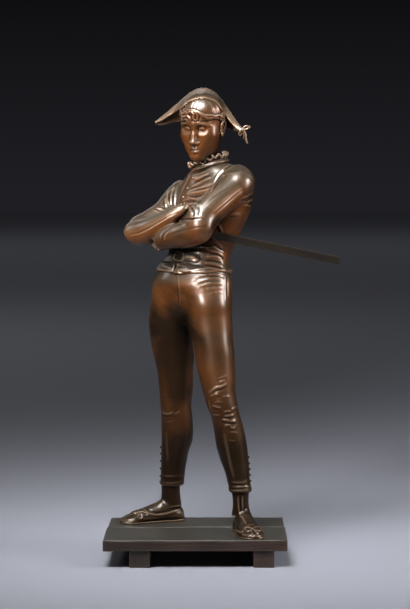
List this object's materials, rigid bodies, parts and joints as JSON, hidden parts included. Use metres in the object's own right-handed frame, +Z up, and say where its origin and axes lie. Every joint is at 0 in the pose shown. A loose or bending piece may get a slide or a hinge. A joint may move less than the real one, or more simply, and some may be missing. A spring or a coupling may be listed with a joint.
{
  "type": "bronze figure statuette",
  "caption": "Standing harlequin statuette with crossed arms, a pointed hat and a slapstick under one arm, on a plank base raised on battens.",
  "frame": {"origin": "middle of the bounding box on the ground, under the whole work", "axes": "+Z up, -Y towards the viewer the figure stands before, +X to that viewer's right; the base's long side runs along X"},
  "size_m": [0.4312, 0.2542, 0.8473],
  "materials": {
    "bronze": "cast bronze with a glossy red-brown patina",
    "blade": "cast bronze with a dark brown patina",
    "plank": "cast bronze plank, dark olive-brown patina with raised wood grain"
  },
  "bodies": {
    "root": {"figure": "bronze", "bat": "blade", "base": "plank"}
  },
  "joints": []
}
